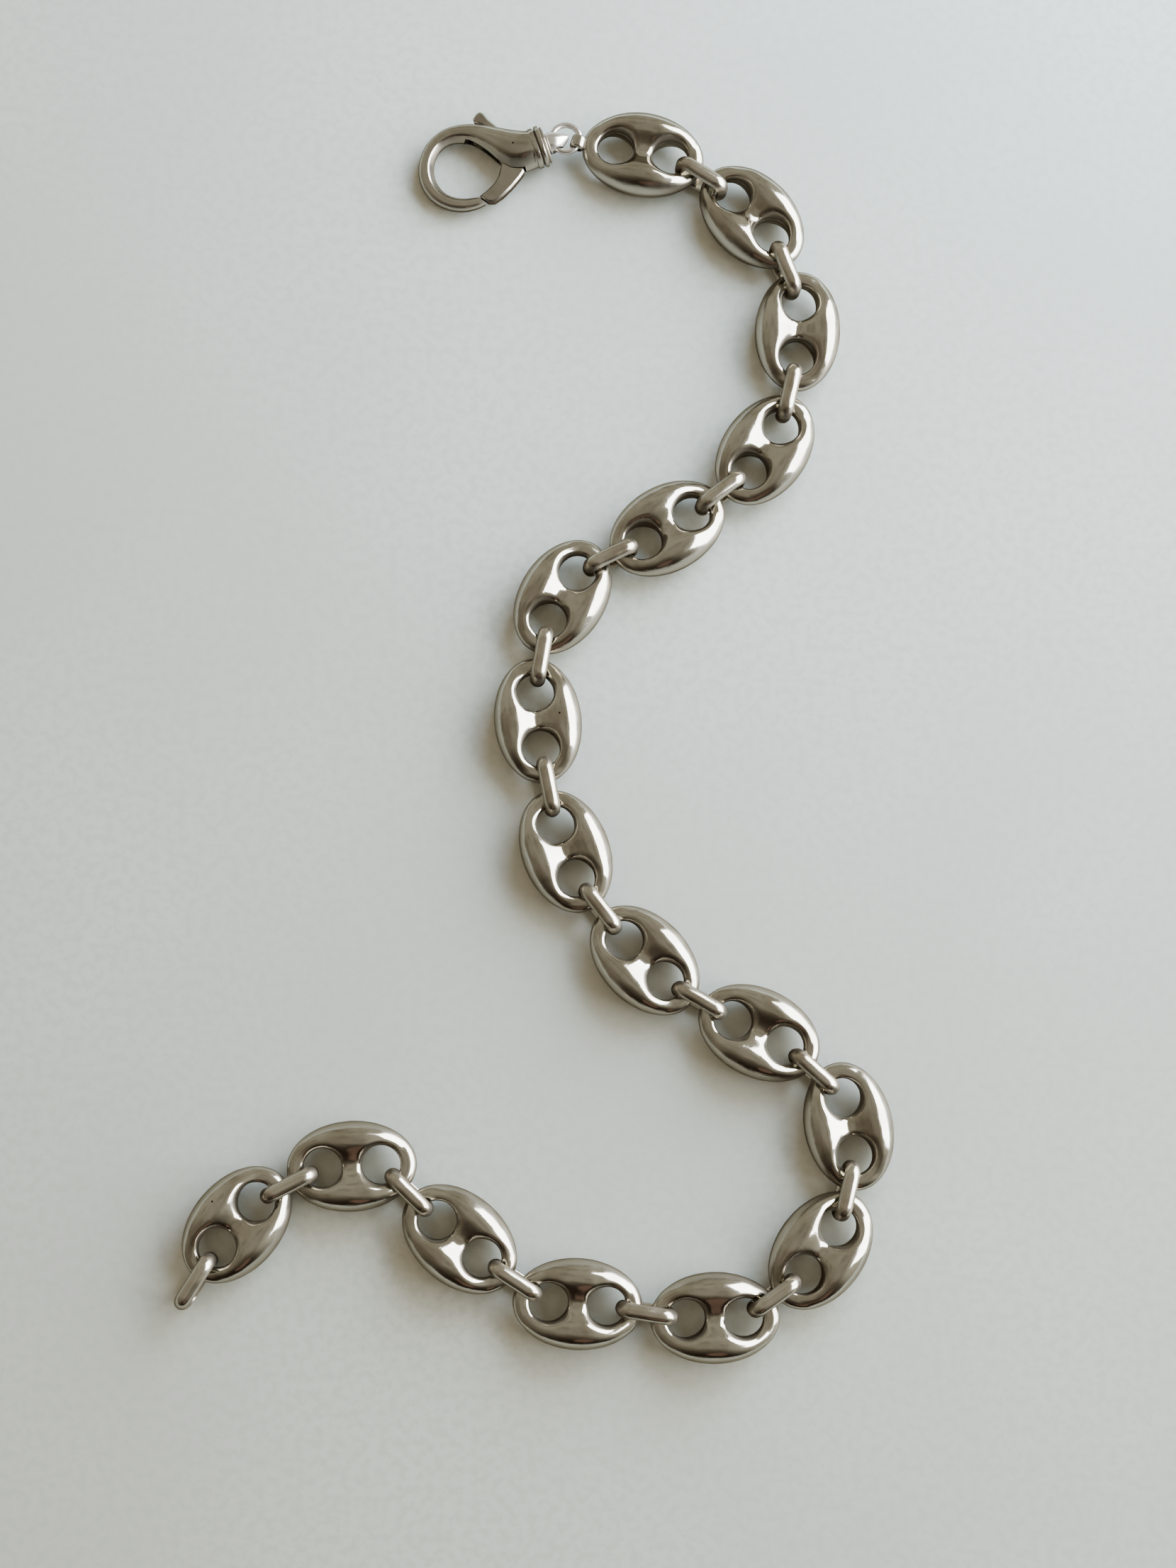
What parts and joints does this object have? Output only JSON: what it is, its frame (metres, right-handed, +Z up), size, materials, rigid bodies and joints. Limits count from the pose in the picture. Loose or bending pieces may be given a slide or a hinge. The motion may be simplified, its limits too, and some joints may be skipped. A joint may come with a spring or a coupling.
{
  "type": "mariner link chain",
  "caption": "Sterling silver puffed mariner chain necklace with upright connector rings and a swivel lobster clasp, lying unclasped in an open S.",
  "frame": {"origin": "centre of the plan outline of the lying chain, on the surface it lies on", "axes": "+X right and +Y away as the picture sees it, +Z up from the surface"},
  "size_m": [0.124, 0.2244, 0.0083],
  "materials": {
    "link_silver": "polished, lightly worn",
    "ring_silver": "polished, darker where tarnished inside",
    "clasp_silver": "polished casting, lightly worn"
  },
  "bodies": {
    "chain": {"link_01": "link_silver", "link_02": "link_silver", "link_03": "link_silver", "link_04": "link_silver", "link_05": "link_silver", "link_06": "link_silver", "link_07": "link_silver", "link_08": "link_silver", "link_09": "link_silver", "link_10": "link_silver", "link_11": "link_silver", "link_12": "link_silver", "link_13": "link_silver", "link_14": "link_silver", "link_15": "link_silver", "link_16": "link_silver", "link_17": "link_silver", "ring_01": "ring_silver", "ring_02": "ring_silver", "ring_03": "ring_silver", "ring_04": "ring_silver", "ring_05": "ring_silver", "ring_06": "ring_silver", "ring_07": "ring_silver", "ring_08": "ring_silver", "ring_09": "ring_silver", "ring_10": "ring_silver", "ring_11": "ring_silver", "ring_12": "ring_silver", "ring_13": "ring_silver", "ring_14": "ring_silver", "ring_15": "ring_silver", "ring_16": "ring_silver", "ring_17": "ring_silver", "clasp_swivel": "clasp_silver", "jump_ring": "ring_silver"},
    "clasp": {"clasp_body": "clasp_silver"},
    "lever": {"clasp_lever": "clasp_silver"}
  },
  "joints": [
    {"name": "clasp_turn", "type": "hinge", "parent": "chain", "child": "clasp", "pos_m": [0.00216, 0.10631, 0.00415], "axis": [0.9397, 0.3272, 0.0993], "continuous": true},
    {"name": "lever_rock", "type": "hinge", "parent": "clasp", "child": "lever", "pos_m": [-0.00542, 0.10361, 0.00335], "axis": [0.0938, 0.0327, -0.9951], "range_deg": [0, 25], "stiffness_Nm_per_rad": 0.02, "springref_deg": -5.73}
  ]
}
